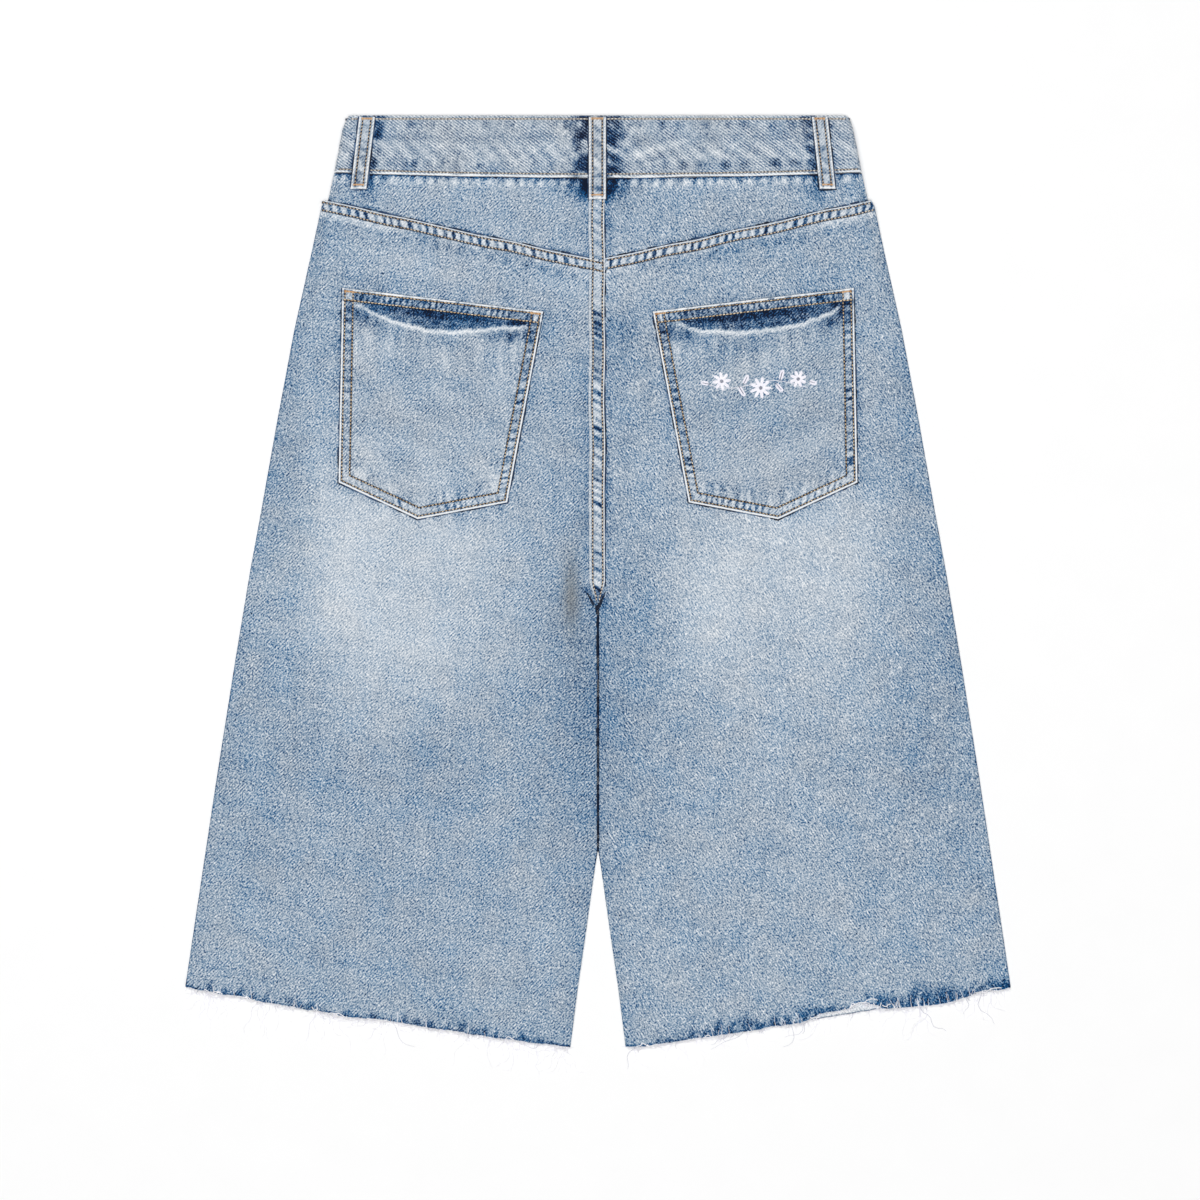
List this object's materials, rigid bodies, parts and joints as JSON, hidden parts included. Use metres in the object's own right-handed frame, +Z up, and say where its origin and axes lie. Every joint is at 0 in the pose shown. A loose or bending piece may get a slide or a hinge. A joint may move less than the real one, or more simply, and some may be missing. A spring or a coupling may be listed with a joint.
{
  "type": "denim shorts laid flat",
  "caption": "Knee-length wide-leg denim shorts lying flat, back side up, with patch pockets, a yoke, belt loops and frayed raw hems.",
  "frame": {"origin": "on the floor, halfway between the waistband's top edge and the lowest thread of the fringe, on the centre back line", "axes": "+X across the garment towards the wearer's right leg, +Y towards the waist, +Z up off the floor through the layers"},
  "size_m": [0.561, 0.654, 0.0115],
  "materials": {
    "denim_panel": "stonewashed blue denim, right-hand twill, faded over the seat and thighs",
    "denim_trim": "stonewashed blue denim with abraded pale edges and brown-grey topstitching",
    "loose_thread": "undyed cotton threads pulled from a raw edge",
    "aged_metal": "aged antique brass"
  },
  "bodies": {
    "root": {"back_panel_left": "denim_panel", "back_panel_right": "denim_panel", "back_pocket_left": "denim_panel", "back_pocket_right": "denim_panel", "back_yoke_left": "denim_panel", "back_yoke_right": "denim_panel", "belt_loop_back_centre": "denim_trim", "belt_loop_back_left": "denim_trim", "belt_loop_back_right": "denim_trim", "belt_loop_front_left": "denim_trim", "belt_loop_front_right": "denim_trim", "fly_zip": "aged_metal", "front_panel_left": "denim_panel", "front_panel_right": "denim_panel", "hem_fringe_back_left": "loose_thread", "hem_fringe_back_right": "loose_thread", "hem_fringe_front_left": "loose_thread", "hem_fringe_front_right": "loose_thread", "seat_seam": "denim_trim", "waist_button": "aged_metal", "waistband": "denim_trim", "yoke_seam_left": "denim_trim", "yoke_seam_right": "denim_trim"}
  },
  "joints": []
}
